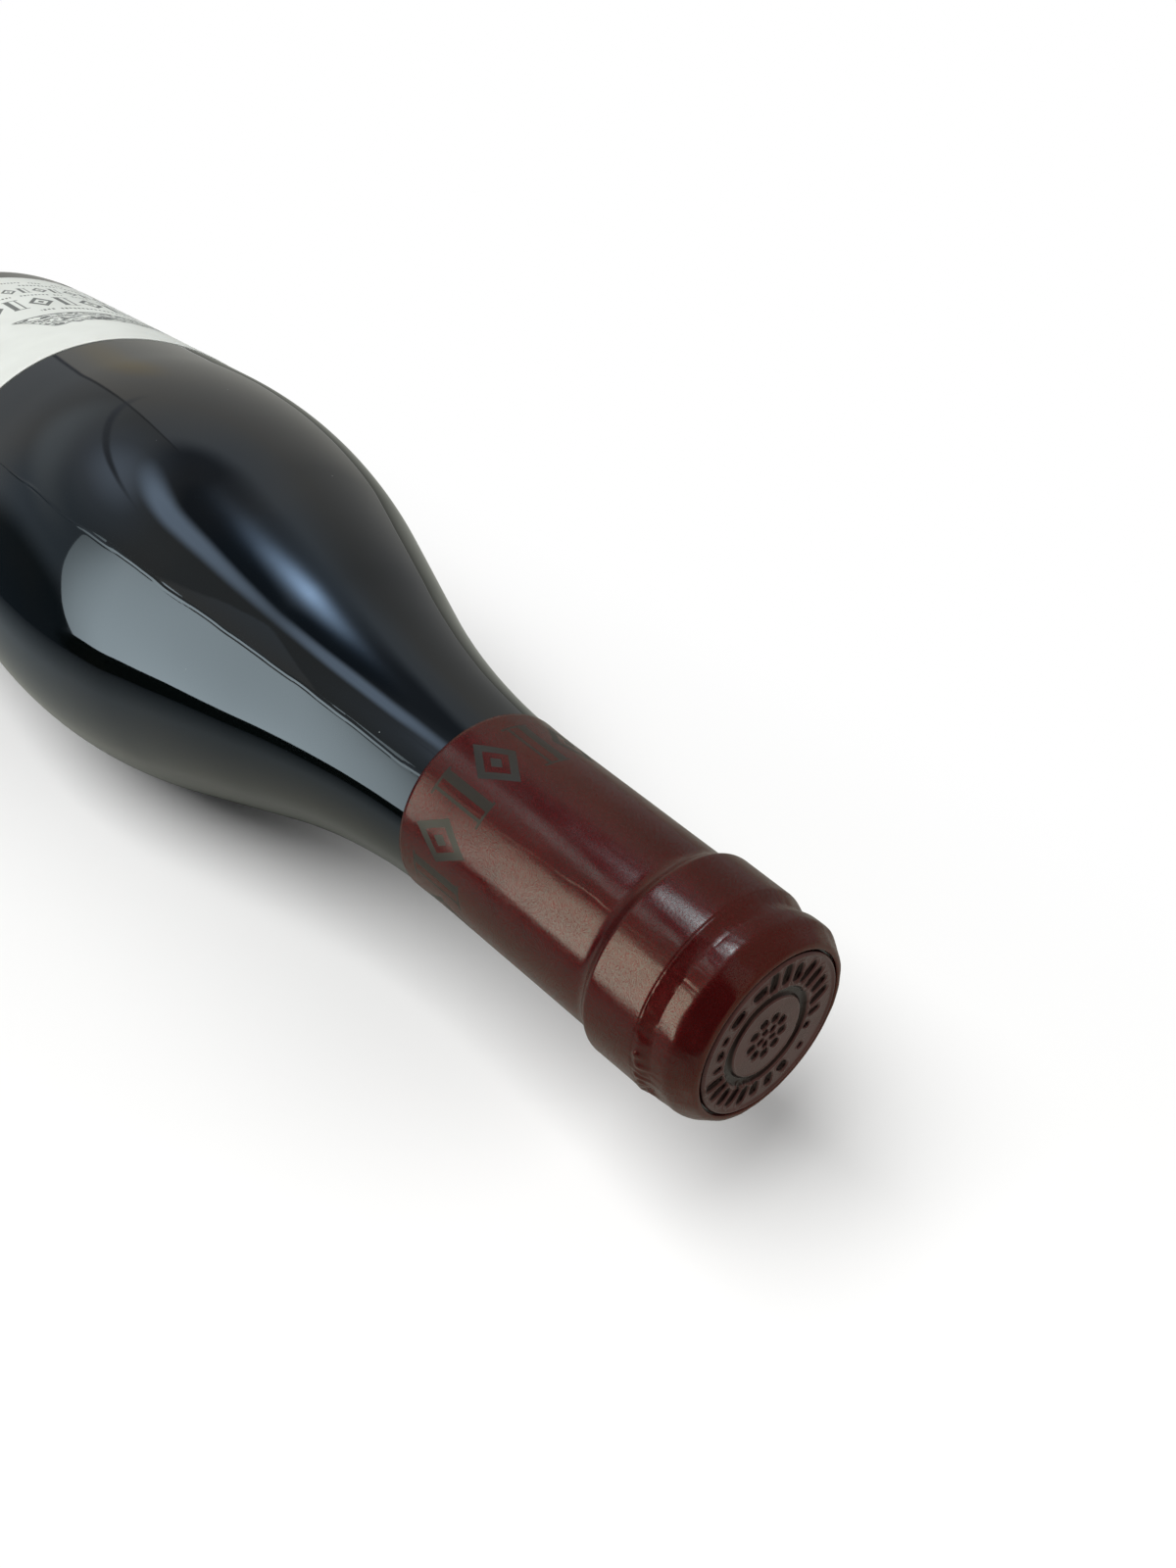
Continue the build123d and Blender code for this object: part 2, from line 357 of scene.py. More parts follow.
def build_capsule_sleeve():
    """Shrunk film over neck, ring, waist and lip, with its edge turned in over the mouth."""
    outside = SLEEVE_THICKNESS
    corners = [(BASE_X + SHOULDER_CORNER, BODY_RADIUS + outside, 0.0)]
    corners += neck_corners(outside, 2.0, 3.4)[:-1]
    corners += [
        (LIP_FOOT_X, LIP_RADIUS, 1.2),
        (RIM_X - 3.0, LIP_RADIUS - 0.04, 1.8),
        (FILM_RIM_X, 12.95, 0.9),
        (FILM_RIM_X, RIM_EDGE_RADIUS, 0.25),
        (FILM_RIM_X - 0.8, RIM_EDGE_RADIUS, 0.0),
    ]
    outline = rounded_outline(corners, 0.58, 0.15)
    kept = outline[outline[:, 0] > SLEEVE_FOOT_X + 0.05]
    before = outline[outline[:, 0] <= SLEEVE_FOOT_X + 0.05][-1]
    share = (SLEEVE_FOOT_X - before[0]) / (kept[0][0] - before[0])
    foot_radius = before[1] + share * (kept[0][1] - before[1])
    turned_edge = [
        (SLEEVE_FOOT_X + 2.5, foot_radius - 0.40),
        (SLEEVE_FOOT_X + 0.10, foot_radius - 0.30),
        (SLEEVE_FOOT_X, foot_radius - 0.15),
        (SLEEVE_FOOT_X + 0.06, foot_radius - 0.02),
    ]
    outline = np.vstack([turned_edge, kept])
    x, radius = outline[:, 0], outline[:, 1]
    angles = ring_of_angles(520, (MOULD_SEAM - 0.1,), 0.16, 41)
    grid = np.repeat(radius[:, None], len(angles), 1)
    skin = (x > SLEEVE_FOOT_X + 0.05) & (radius > RIM_EDGE_RADIUS + 0.3)

    # the film bridges the waist where it was drawn tight, and the waist runs round askew
    tight = bump(angles, math.radians(-50), math.radians(0)) * (
        1 - bump(angles, math.radians(92), math.radians(120)))
    askew = 0.05 - 1.25 * np.cos(angles - math.radians(56))
    askew += np.array([0.30 * noise.noise(Vector((2.2 * math.cos(a), 2.2 * math.sin(a), 5.0)))
                       + 0.22 * noise.noise(Vector((6.5 * math.cos(a), 6.5 * math.sin(a), 1.0)))
                       + 0.10 * noise.noise(Vector((19.0 * math.cos(a), 19.0 * math.sin(a), 3.0)))
                       for a in angles])
    carried = bump(x, RING_TOP_X, WAIST_X) * (1 - bump(x, LIP_FOOT_X + 0.3, RIM_X - 0.4)) * skin
    along = x[:, None] + carried[:, None] * askew
    bridge = np.interp(along, [RING_TOP_X + 0.25, RIM_X - 6.4, LIP_FOOT_X + 0.2],
                       [NECK_RADIUS + 0.92 + outside, LIP_RADIUS - 0.02, LIP_RADIUS])
    spanned = skin[:, None] & (along > RING_TOP_X) & (along < LIP_FOOT_X)
    grid += np.where(spanned, np.maximum(bridge - radius[:, None], 0.0), 0.0) * tight

    crush = np.where(np.abs(angles - math.radians(112)) < 0.68,
                     np.cos((angles - math.radians(112)) * 2.3), 0.0)
    puckered = 0.50 + 0.50 * bump(angles, math.radians(62), math.radians(95))
    for i in np.where(skin)[0]:
        waist = math.exp(-((x[i] - WAIST_X) / 1.5) ** 2)
        ring_edge = math.exp(-((x[i] - RING_TOP_X) / 1.0) ** 2)
        lip_edge = math.exp(-((x[i] - LIP_FOOT_X - 0.6) / 1.6) ** 2)
        rim = bump(x[i], LIP_FOOT_X, RIM_X - 1.0)
        bead = math.exp(-((x[i] - FILM_RIM_X + 0.75) / 0.22) ** 2)
        for j, a in enumerate(angles):
            ca, sa = math.cos(a), math.sin(a)
            crease = abs(noise.noise(Vector((11.0 * ca, 11.0 * sa, x[i] * 0.25))))
            fine = abs(noise.noise(Vector((24.0 * ca, 24.0 * sa, x[i] * 0.45))))
            dent = noise.noise(Vector((5.0 * ca, 5.0 * sa, x[i] * 0.55)))
            grid[i, j] += 0.020 * wavy(x[i], a, 11.0, 2.0) + 0.006 * wavy(x[i], a, 3.2, 7.0)
            folds = (0.16 * waist + 0.06 * lip_edge) * (crease - 0.5)
            folds += ((0.07 * waist + 0.05 * ring_edge + 0.03 * lip_edge + 0.035 * rim)
                      * (fine - 0.2))
            grid[i, j] += puckered[j] * folds + 0.10 * rim * dent
            grid[i, j] += 0.07 * bead * (0.6 + 2.0 * dent)
            grid[i, j] += max(0.0, crush[j]) * waist * (0.50 + 0.8 * crease + 0.35 * dent)
    twist = np.interp(x, [SLEEVE_FOOT_X, RING_FOOT_X, RIM_X], [-0.055, -0.14, -0.15])
    for i in np.where(skin & (x < RING_TOP_X))[0]:
        near_ring = math.exp(-((x[i] - RING_FOOT_X + 7.0) / 5.0) ** 2)
        relief = seam_relief(x[i:i + 1], radius[i:i + 1], angles, MOULD_SEAM + twist[i],
                             0.006 + 0.016 * near_ring, 0.22, 0.45)
        grid[i] += relief[0]
    made = skin_mesh("capsule_sleeve_film", along, grid, angles)
    print_layer = made.data.uv_layers.new(name="around")
    loops = np.empty(len(made.data.loops), dtype=np.int64)
    made.data.loops.foreach_get("vertex_index", loops)
    columns = len(angles)
    row, column = loops // columns, loops % columns
    by_face = column.reshape(-1, 4)
    wraps = np.repeat((by_face.max(1) - by_face.min(1)) > columns // 2, 4) & (column == 0)
    turn = angles[column] + np.where(wraps, 2 * math.pi, 0.0)
    coordinates = np.stack([turn * NECK_ROUND, x[row] - SLEEVE_FOOT_X], axis=-1)
    print_layer.data.foreach_set("uv", coordinates.ravel().astype(np.float32))
    return made


DISC_FACE_X = RIM_X - 0.30
STAMP_Y, STAMP_Z = -0.75, 0.10     # the stamp came down a little off the disc's middle

OVAL = 2.6                 # exponent of a pocket's outline, between an ellipse and a box

# pockets of the disc: angle from the top in degrees, radius, half length, half width, lean
STAMPED_POCKETS = (
    [(a, 9.35 + 0.2 * (k % 2), 1.80 - 0.30 * (k % 3 == 1), 0.86, 16 - 10 * (k % 4))
     for k, a in enumerate(range(-84, 2, 14))]
    + [(a, 9.05 - 0.2 * (k % 2), 1.65 - 0.30 * (k % 3 == 2), 0.82, 7 * (k % 3) - 10)
       for k, a in enumerate(range(102, 176, 14))]
    + [(14, 9.2, 0.95, 1.30, 0), (39, 9.1, 0.80, 1.35, 0), (58, 9.0, 0.50, 0.66, 0),
       (72, 8.7, 0.62, 0.80, 20), (87, 8.6, 0.75, 0.48, 0), (-99, 8.9, 1.15, 0.62, 12),
       (-114, 8.5, 0.66, 0.56, 0), (-134, 9.8, 0.55, 0.60, 0), (-155, 9.4, 1.15, 0.90, 15),
       (-171, 9.2, 1.20, 0.80, -10)]
)
# the cluster in the middle: radius of each ring of cells, count, half length, half width
STAMPED_CELLS = ((1.20, 5, 0.66, 0.50), (2.80, 9, 0.78, 0.74))


def stamped_height(radial, turn):
    """Relief of the capsule's disc in millimetres: beaded edge, pockets, groove and cluster."""
    y, z = -radial * np.sin(turn) - STAMP_Y, radial * np.cos(turn) - STAMP_Z
    from_stamp = np.hypot(y, z)
    height = 0.23 * band(radial, 11.35, 11.75, 0.25)
    height += -0.46 * band(from_stamp, 6.10, 7.25, 0.30) + 0.08 * band(from_stamp, 7.45, 7.75, 0.16)
    height += 0.07 * band(from_stamp, 5.72, 5.96, 0.12)

    def pocket(angle, middle, half_length, half_width, lean, depth, wall):
        a = math.radians(angle)
        dy, dz = y + middle * math.sin(a), z - middle * math.cos(a)
        lean_angle = a + math.radians(lean)
        along = -dy * math.sin(lean_angle) + dz * math.cos(lean_angle)
        across = dy * math.cos(lean_angle) + dz * math.sin(lean_angle)
        reach = (np.abs(along / half_length) ** OVAL
                 + np.abs(across / half_width) ** OVAL) ** (1 / OVAL)
        return wall * band(reach, 1.08, 1.24, 0.12) - depth * (1 - bump(reach, 0.70, 1.02))

    for mark in STAMPED_POCKETS:
        height += pocket(*mark, 0.44, 0.10)
    for ring, count, half_length, half_width in STAMPED_CELLS:
        for k in range(count):
            height += pocket(360 * k / count + 20 * ring, ring, half_length, half_width, 12,
                             0.34, 0.07)
    return height


def build_capsule_top():
    """Stamped disc let into the mouth of the sleeve."""
    edge_radius = DISC_RADIUS - 0.02
    radial = np.concatenate([np.linspace(0.06, 3.4, 40), np.linspace(3.55, 5.2, 7),
                             np.linspace(5.3, edge_radius, 80), [edge_radius + 0.01]])
    turn = np.linspace(-math.pi, math.pi, 620, endpoint=False)
    spread, around = np.meshgrid(radial, turn, indexing="ij")

    def sag(r, a, wavelength, seed):
        return noise.noise(Vector((r * math.sin(a) / wavelength, r * math.cos(a) / wavelength,
                                   seed)))

    uneven = np.array([[0.045 * sag(r, a, 4.5, 3.0) + 0.012 * sag(r, a, 1.3, 7.0) for a in turn]
                       for r in radial])
    x = DISC_FACE_X + stamped_height(spread, around) + uneven
    x -= 0.22 * bump(spread, edge_radius - 0.22, edge_radius)
    x[-1] = disc_low[0] / MM + 0.02
    x = np.clip(x, disc_low[0] / MM + 0.02, RIM_X - 0.005)
    return skin_mesh("capsule_top_stamped", x, spread, turn, caps=((0, False),))


def build_front_label():
    """Paper label glued round the body, with a cut edge."""
    columns, rows = 190, 96
    angle = np.linspace(LABEL_MIDDLE - LABEL_WRAP / 2, LABEL_MIDDLE + LABEL_WRAP / 2, columns)
    x = np.linspace(LABEL_FOOT_X, LABEL_TOP_X, rows)
    height = np.full((rows, columns), LABEL_RADIUS)
    for i in range(rows):
        for j in range(columns):
            height[i, j] += 0.012 * wavy(x[i], angle[j], 14.0, 6.0)
    points, faces, spots = [], [], []
    for lift in (0.0, -PAPER_THICKNESS):
        for i in range(rows):
            for j in range(columns):
                r = (height[i, j] + lift) * MM
                points.append((x[i] * MM, -r * math.sin(angle[j]),
                               AXIS_Z * MM + r * math.cos(angle[j])))
                spots.append((-(angle[j] - LABEL_MIDDLE) * LABEL_RADIUS, x[i] - LABEL_FOOT_X))
    size = rows * columns
    for i in range(rows - 1):
        for j in range(columns - 1):
            a = i * columns + j
            faces.append((a, a + 1, a + columns + 1, a + columns))
    rim = list(range(columns))
    rim += [i * columns + columns - 1 for i in range(1, rows)]
    rim += [(rows - 1) * columns + j for j in range(columns - 2, -1, -1)]
    rim += [i * columns for i in range(rows - 2, 0, -1)]
    for k, a in enumerate(rim):
        b = rim[(k + 1) % len(rim)]
        faces.append((b, a, a + size, b + size))
    mesh = bpy.data.meshes.new("front_label_paper")
    mesh.from_pydata(points, [], faces)
    layer = mesh.uv_layers.new(name="sheet")
    for loop in mesh.loops:
        layer.data[loop.index].uv = spots[loop.vertex_index]
    mesh.shade_smooth()
    made = bpy.data.objects.new("front_label_paper", mesh)
    bpy.context.scene.collection.objects.link(made)
    for face in list(mesh.polygons)[(rows - 1) * (columns - 1):]:
        face.use_smooth = False
    return made


# ---- materials ----

def dark_blown_glass():
    """Very dark green-brown soda-lime glass, blown in a two-part mould: it shows almost
    no colour of its own, mirrors the lights sharply, and bends them a little where its
    skin is wavy."""
    material, tree, shader = new_material("dark_blown_glass")
    place = node(tree, "ShaderNodeTexCoord").outputs["Object"]
    depth = node(tree, "ShaderNodeTexNoise", {"Vector": place, "Scale": 26.0, "Detail": 2.0})
    tint = blend_colours(tree, step_between(tree, depth.outputs[0], 0.42, 0.75),
                         srgb("#050808"), srgb("#15130d"))
    dust = node(tree, "ShaderNodeTexVoronoi", {"Vector": place, "Scale": 420.0, "Randomness": 1.0})
    chosen = node(tree, "ShaderNodeTexWhiteNoise", {"Vector": dust.outputs["Position"]},
                  noise_dimensions="3D")
    speck = maths(tree, "MULTIPLY",
                  step_between(tree, dust.outputs["Distance"], 0.060, 0.025),
                  maths(tree, "GREATER_THAN", chosen.outputs[0], 0.975))
    colour = blend_colours(tree, speck, tint, srgb("#7f8584"))
    tree.links.new(colour, shader.inputs["Base Color"])
    smear = node(tree, "ShaderNodeTexNoise", {"Vector": place, "Scale": 38.0, "Detail": 5.0,
                                              "Roughness": 0.65, "Distortion": 1.2})
    haze = step_between(tree, smear.outputs[0], 0.50, 0.78, 0.028, 0.085)
    rough = maths(tree, "ADD", haze, maths(tree, "MULTIPLY", speck, 0.5))
    tree.links.new(rough, shader.inputs["Roughness"])
    ripple = node(tree, "ShaderNodeTexNoise", {"Vector": place, "Scale": 210.0, "Detail": 2.0})
    sway = node(tree, "ShaderNodeTexNoise", {"Vector": place, "Scale": 62.0, "Detail": 1.0})
    skin = maths(tree, "ADD", maths(tree, "MULTIPLY", ripple.outputs[0], 0.12), sway.outputs[0])
    skin = maths(tree, "ADD", skin, maths(tree, "MULTIPLY", speck, 0.3))
    relief = node(tree, "ShaderNodeBump", {"Height": skin, "Strength": 1.0, "Distance": 0.000022})
    tree.links.new(relief.outputs[0], shader.inputs["Normal"])
    shader.inputs["IOR"].default_value = 1.52
    return material


def between(tree, value, low, high, soft):
    """1 where a socket lies between low and high, with soft edges."""
    return maths(tree, "MULTIPLY", step_between(tree, value, low - soft, low + soft),
                 step_between(tree, value, high + soft, high - soft))


def away_from(tree, value, middle):
    """Distance of a socket from a number."""
    return maths(tree, "ABSOLUTE", maths(tree, "SUBTRACT", value, middle))


def ornament_row(tree, across, up, middle, height, period, soft):
    """Printer's border: a hollow lozenge, then a thick and a thin upright between serifs."""
    place = maths(tree, "MULTIPLY", maths(tree, "SUBTRACT", maths(
        tree, "FRACT", maths(tree, "MULTIPLY", across, 1 / period)), 0.5), period)
    rise = away_from(tree, up, middle)
    lozenge = maths(tree, "ADD",
                    maths(tree, "MULTIPLY", away_from(tree, place, -0.22 * period),
                          1 / (0.25 * period)),
                    maths(tree, "MULTIPLY", rise, 1 / (0.50 * height)))
    edge = soft / (0.2 * period)
    ink = between(tree, lozenge, 0.60, 1.0, edge)
    ink = maths(tree, "MAXIMUM", ink, step_between(tree, lozenge, 0.26 + edge, 0.26 - edge))
    within = step_between(tree, rise, 0.46 * height + soft, 0.46 * height - soft)
    for spot, half in ((0.19, 0.055), (0.36, 0.018)):
        upright = step_between(tree, away_from(tree, place, spot * period),
                               half * period + soft, half * period - soft)
        ink = maths(tree, "MAXIMUM", ink, maths(tree, "MULTIPLY", upright, within))
    serif = maths(tree, "MULTIPLY", between(tree, rise, 0.44 * height, 0.48 * height, soft),
                  step_between(tree, away_from(tree, place, 0.275 * period),
                               0.165 * period + soft, 0.165 * period - soft))
    return maths(tree, "MAXIMUM", ink, serif)


def row_of_strokes(tree, across, up, low, high, word, stroke, reach, seed):
    """A row of short uneven strokes grouped like words, with no letters in it."""
    group = node(tree, "ShaderNodeTexNoise",
                 {"W": maths(tree, "MULTIPLY_ADD", across, 1 / word, seed),
                  "Scale": 1.0, "Detail": 0.0}, noise_dimensions="1D")
    beat = maths(tree, "MULTIPLY", across, 1 / stroke)
    pick = node(tree, "ShaderNodeTexWhiteNoise", {"W": maths(tree, "FLOOR", beat)},
                noise_dimensions="1D")
    tall = high - low
    top = maths(tree, "MULTIPLY_ADD", pick.outputs[0], tall * 0.4, low + tall * 0.62)
    ink = maths(tree, "MULTIPLY", step_between(tree, group.outputs[0], 0.38, 0.42),
                step_between(tree, maths(tree, "FRACT", beat), 0.66, 0.54))
    ink = maths(tree, "MULTIPLY", ink, step_between(tree, up, low - 0.08, low + 0.08))
    ink = maths(tree, "MULTIPLY", ink, maths(tree, "LESS_THAN", up, top))
    aside = maths(tree, "ABSOLUTE", across)
    return maths(tree, "MULTIPLY", ink, step_between(tree, aside, reach, reach - 0.4))


def uncoated_label_paper():
    """Uncoated wood-free label paper, off-white with a cool green cast: matt, with a fine
    fibre texture and soft-edged dark grey print."""
    material, tree, shader = new_material("uncoated_label_paper")
    sheet = node(tree, "ShaderNodeUVMap", uv_map="sheet").outputs[0]
    split = node(tree, "ShaderNodeSeparateXYZ", {0: sheet})
    across, up = split.outputs[0], split.outputs[1]
    aside = maths(tree, "ABSOLUTE", across)
    fibre = node(tree, "ShaderNodeTexNoise", {"Vector": sheet, "Scale": 2.6, "Detail": 6.0,
                                              "Roughness": 0.7})
    cloud = node(tree, "ShaderNodeTexNoise", {"Vector": sheet, "Scale": 0.06, "Detail": 3.0})
    paper = blend_colours(tree, step_between(tree, cloud.outputs[0], 0.3, 0.7),
                          srgb("#dcdfd9"), srgb("#e4e7e1"))
    paper = blend_colours(tree, step_between(tree, fibre.outputs[0], 0.62, 0.80, 0.0, 0.5),
                          paper, srgb("#cacbc4"))

    title = ornament_row(tree, across, up, 33.0, 10.5, 11.4, 0.10)
    second = ornament_row(tree, across, up, 18.4, 6.0, 7.2, 0.08)
    ink = maths(tree, "MULTIPLY", title, step_between(tree, aside, 45.8, 45.4))
    second = maths(tree, "MULTIPLY", second, step_between(tree, aside, 36.2, 35.8))
    ink = maths(tree, "MAXIMUM", ink, second)
    for low, high, word, stroke, reach, seed in ((41.2, 42.9, 3.2, 0.95, 34.0, 3.0),
                                                 (24.0, 25.2, 3.0, 0.85, 38.0, 11.0),
                                                 (11.2, 12.6, 3.0, 0.90, 30.0, 17.0),
                                                 (7.6, 8.8, 2.6, 0.80, 40.0, 23.0)):
        strokes = row_of_strokes(tree, across, up, low, high, word, stroke, reach, seed)
        ink = maths(tree, "MAXIMUM", ink, strokes)

    # vignette: rows of planting on low hills, in engraved lines
    hill = node(tree, "ShaderNodeTexNoise",
                {"W": maths(tree, "MULTIPLY_ADD", across, 0.075, 4.2), "Scale": 1.0, "Detail": 3.0},
                noise_dimensions="1D")
    skyline = maths(tree, "MULTIPLY_ADD", hill.outputs[0], 13.0, 49.5)
    ends = step_between(tree, aside, 42.5, 35.0)
    skyline = maths(tree, "MULTIPLY_ADD", maths(tree, "SUBTRACT", skyline, 47.5), ends, 47.5)
    ground = between(tree, up, 46.6, 47.2, 0.15)
    under = step_between(tree, maths(tree, "SUBTRACT", skyline, up), 0.0, 0.25)
    over = step_between(tree, up, 46.9, 47.4)
    from_skyline = maths(tree, "ABSOLUTE", maths(tree, "SUBTRACT", skyline, up))
    outline = step_between(tree, from_skyline, 0.42, 0.20)
    wobble = node(tree, "ShaderNodeTexNoise", {"Vector": sheet, "Scale": 0.28, "Detail": 3.0})
    planted = maths(tree, "SINE", maths(tree, "ADD", maths(tree, "MULTIPLY", up, 3.1),
                                        maths(tree, "MULTIPLY", wobble.outputs[0], 24.0)))
    tufts = node(tree, "ShaderNodeTexNoise", {"Vector": sheet, "Scale": 0.75, "Detail": 4.0,
                                              "Roughness": 0.7})
    rows = maths(tree, "ADD", planted, maths(tree, "MULTIPLY_ADD", tufts.outputs[0], 4.4, -2.0))
    engraved = step_between(tree, rows, 0.0, 0.35)
    vignette = maths(tree, "MULTIPLY", maths(tree, "MULTIPLY", under, over), engraved)
    vignette = maths(tree, "MAXIMUM", maths(tree, "MAXIMUM", vignette, outline), ground)
    vignette = maths(tree, "MULTIPLY", vignette, step_between(tree, aside, 42.6, 41.4))
    ink = maths(tree, "MAXIMUM", ink, vignette)
    worn = step_between(tree, fibre.outputs[0], 0.30, 0.46, 0.60, 1.0)
    ink = maths(tree, "MULTIPLY", maths(tree, "MULTIPLY", ink, worn), 0.80)
    tree.links.new(blend_colours(tree, ink, paper, srgb("#262a26")), shader.inputs["Base Color"])
    shader.inputs["Roughness"].default_value = 0.82
    shader.inputs["IOR"].default_value = 1.45
    relief = node(tree, "ShaderNodeBump", {"Height": fibre.outputs[0], "Strength": 0.55,
                                           "Distance": 0.00004})
    tree.links.new(relief.outputs[0], shader.inputs["Normal"])
    return material


def shrunk_capsule_film():
    """Lacquered shrink film, wine red over a metallic primer: satin gloss whose highlights
    turn warm brown, with a fine orange-peel grain and a band printed in duller brown-black."""
    material, tree, shader = new_material("shrunk_capsule_film")
    place = node(tree, "ShaderNodeTexCoord").outputs["Object"]
    around = node(tree, "ShaderNodeUVMap", uv_map="around").outputs[0]
    split = node(tree, "ShaderNodeSeparateXYZ", {0: around})
    mottle = node(tree, "ShaderNodeTexNoise", {"Vector": place, "Scale": 120.0, "Detail": 4.0})
    red = blend_colours(tree, step_between(tree, mottle.outputs[0], 0.3, 0.7),
                        srgb("#290203"), srgb("#310304"))
    motif = ornament_row(tree, split.outputs[0], split.outputs[1], 8.9, 11.4,
                         2 * math.pi * NECK_ROUND / 7, 0.07)
    scuff = node(tree, "ShaderNodeTexNoise", {"Vector": place, "Scale": 900.0, "Detail": 3.0})
    scuffed = step_between(tree, scuff.outputs[0], 0.28, 0.42, 0.70, 0.95)
    motif = maths(tree, "MULTIPLY", motif, scuffed)
    # metal flakes of the primer, about 0.04 mm across
    flakes = node(tree, "ShaderNodeTexVoronoi",
                  {"Vector": place, "Scale": 24000.0, "Randomness": 1.0})
    pick = node(tree, "ShaderNodeTexWhiteNoise", {"Vector": flakes.outputs["Position"]},
                noise_dimensions="3D")
    flake = maths(tree, "MULTIPLY", maths(tree, "GREATER_THAN", pick.outputs[0], 0.75),
                  maths(tree, "SUBTRACT", 1.0, motif))
    red = blend_colours(tree, flake, red, srgb("#761d1b"))
    tree.links.new(blend_colours(tree, motif, red, srgb("#100e0b")), shader.inputs["Base Color"])
    tree.links.new(flake, shader.inputs["Metallic"])
    drawn = node(tree, "ShaderNodeMapping", {"Vector": place, "Scale": (0.3, 1.0, 1.0)})
    streak = node(tree, "ShaderNodeTexNoise",
                  {"Vector": drawn.outputs[0], "Scale": 520.0, "Detail": 3.0})
    satin = step_between(tree, streak.outputs[0], 0.3, 0.7, 0.15, 0.23)
    inked = maths(tree, "MULTIPLY_ADD", motif, 0.22, satin)
    rough = maths(tree, "MULTIPLY_ADD", flake, 0.32, inked)
    tree.links.new(rough, shader.inputs["Roughness"])
    # orange peel really 0.3 mm across, drawn at 0.45 mm so that it shows
    peel = node(tree, "ShaderNodeTexNoise", {"Vector": place, "Scale": 2200.0, "Detail": 2.0})
    swell = node(tree, "ShaderNodeTexNoise",
                 {"Vector": drawn.outputs[0], "Scale": 420.0, "Detail": 2.0})
    grain = maths(tree, "MULTIPLY_ADD", swell.outputs[0], 4.0, peel.outputs[0])
    relief = node(tree, "ShaderNodeBump", {"Height": grain, "Strength": 1.0, "Distance": 0.0000085})
    tree.links.new(relief.outputs[0], shader.inputs["Normal"])
    shader.inputs["IOR"].default_value = 1.74
    shader.inputs["Specular Tint"].default_value = srgb("#dcc8a8")
    return material


def stamped_capsule_disc():
    """Stamped disc of the same lacquered film: duller and browner, with painted shade
    that makes its pockets nearly black."""
    material, tree, shader = new_material("stamped_capsule_disc")
    place = node(tree, "ShaderNodeTexCoord").outputs["Object"]
    split = node(tree, "ShaderNodeSeparateXYZ", {0: place})
    along = maths(tree, "MULTIPLY", split.outputs[0], 1 / MM)
    mottle = node(tree, "ShaderNodeTexNoise", {"Vector": place, "Scale": 260.0, "Detail": 4.0})
    base = blend_colours(tree, step_between(tree, mottle.outputs[0], 0.3, 0.7),
                         srgb("#38221f"), srgb("#422a27"))
    # painted shade: below the disc's face, in the pockets and the groove, the colour goes nearly
    # black
    proud = step_between(tree, along, DISC_FACE_X - 0.20, DISC_FACE_X - 0.06)
    tree.links.new(blend_colours(tree, proud, srgb("#0c0202"), base), shader.inputs["Base Color"])
    tree.links.new(step_between(tree, mottle.outputs[0], 0.3, 0.7, 0.22, 0.34),
                   shader.inputs["Roughness"])
    relief = node(tree, "ShaderNodeBump", {"Height": mottle.outputs[0], "Strength": 0.4,
                                           "Distance": 0.00002})
    tree.links.new(relief.outputs[0], shader.inputs["Normal"])
    shader.inputs["IOR"].default_value = 1.45
    shader.inputs["Specular Tint"].default_value = srgb("#f0ccba")
    return material


# ---- studio ----

LIT_POINT = Vector((0.040, -0.020, 0.050))      # by the bottle's shoulder; all in metres
TABLE_EDGE = -0.185        # near edge of the table top, as gloss sees it
TENT_RADIUS = 1.2
FLOOR_GAP = 0.00004        # between the bottle's lowest line and the table top
CARD_DISTANCE = 1.0
OVERHEAD = Vector((-0.092, 0.023, 0.65))
ROOM_LIGHT = 0.14          # what the white room adds to matt surfaces, where white is 1
CAMERA_PLACE = (0.20022, -0.07507, 0.14707)
CAMERA_AZIMUTH, CAMERA_ELEVATION = -39.8545, 36.3465
CAMERA_SENSOR = 36.0
CAMERA_LENS = 0.70006 * CAMERA_SENSOR


def toward(azimuth, elevation, distance):
    """Point at that distance from the lit point; angles in degrees."""
    a, e = math.radians(azimuth), math.radians(elevation)
    return LIT_POINT + distance * Vector((math.cos(e) * math.cos(a),
                                          math.cos(e) * math.sin(a), math.sin(e)))


def show_in_gloss_only(card):
    """A cloth or card of the studio that shows in the bottle's gloss and nowhere else."""
    card.visible_camera = False
    card.visible_diffuse = False
    card.visible_shadow = False


def emissive(name, colour=(1.0, 1.0, 1.0, 1.0)):
    """Plain glowing cloth; gives the material, its tree and its emission node."""
    material = bpy.data.materials.new(name)
    material.use_nodes = True
    material.cycles.emission_sampling = "NONE"
    tree = material.node_tree
    tree.nodes.clear()
    glow = node(tree, "ShaderNodeEmission", {"Color": colour, "Strength": 1.0})
    node(tree, "ShaderNodeOutputMaterial", {"Surface": glow.outputs[0]})
    return material, tree, glow


def area_lamp(name, azimuth, elevation, distance, width, height, power):
    """Neutral soft lamp aimed at the bottle; it lights matt surfaces and casts the shadow."""
    data = bpy.data.lights.new(name, "AREA")
    data.shape = "RECTANGLE"
    data.size, data.size_y = width, height
    data.energy = power
    lamp = bpy.data.objects.new(name, data)
    bpy.context.scene.collection.objects.link(lamp)
    lamp.location = toward(azimuth, elevation, distance)
    lamp.rotation_euler = (LIT_POINT - lamp.location).to_track_quat("-Z", "Y").to_euler()
    lamp.visible_glossy = False
    lamp.visible_camera = False


